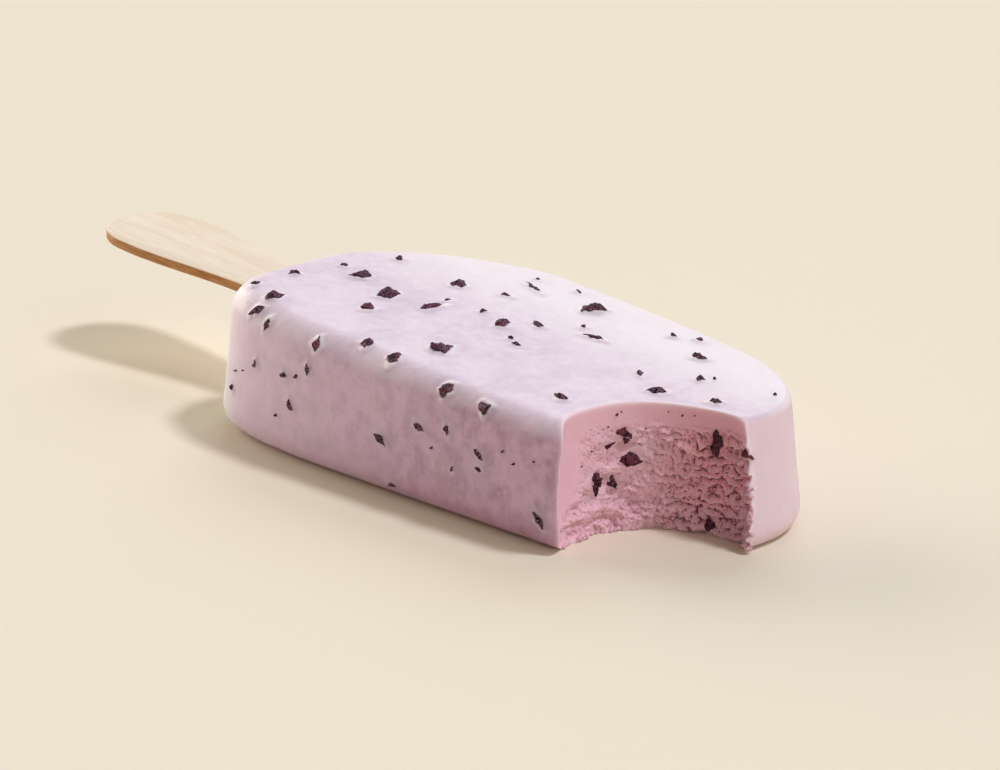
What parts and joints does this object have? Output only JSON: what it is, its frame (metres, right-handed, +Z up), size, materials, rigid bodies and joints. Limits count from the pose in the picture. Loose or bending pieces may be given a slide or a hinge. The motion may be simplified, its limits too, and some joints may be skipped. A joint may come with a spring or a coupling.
{
  "type": "ice lolly",
  "caption": "Moulded ice cream bar with dark flakes on a waisted wooden stick, lying flat, with one bite taken from a corner of its tip.",
  "frame": {"origin": "middle of the bar's flat underside, on the surface it rests on", "axes": "+X along the bar from the stick to the tip, +Z up, -Y towards the bitten side"},
  "size_m": [0.1316, 0.0488, 0.0225],
  "materials": {
    "ice_cream": "frozen cream skin, pale pink lilac with dark maroon brown flakes, mauve pink crumb in the bite",
    "birch_wood": "plain smooth birch, unvarnished"
  },
  "bodies": {
    "root": {"ice_cream": "ice_cream", "stick": "birch_wood"}
  },
  "joints": []
}
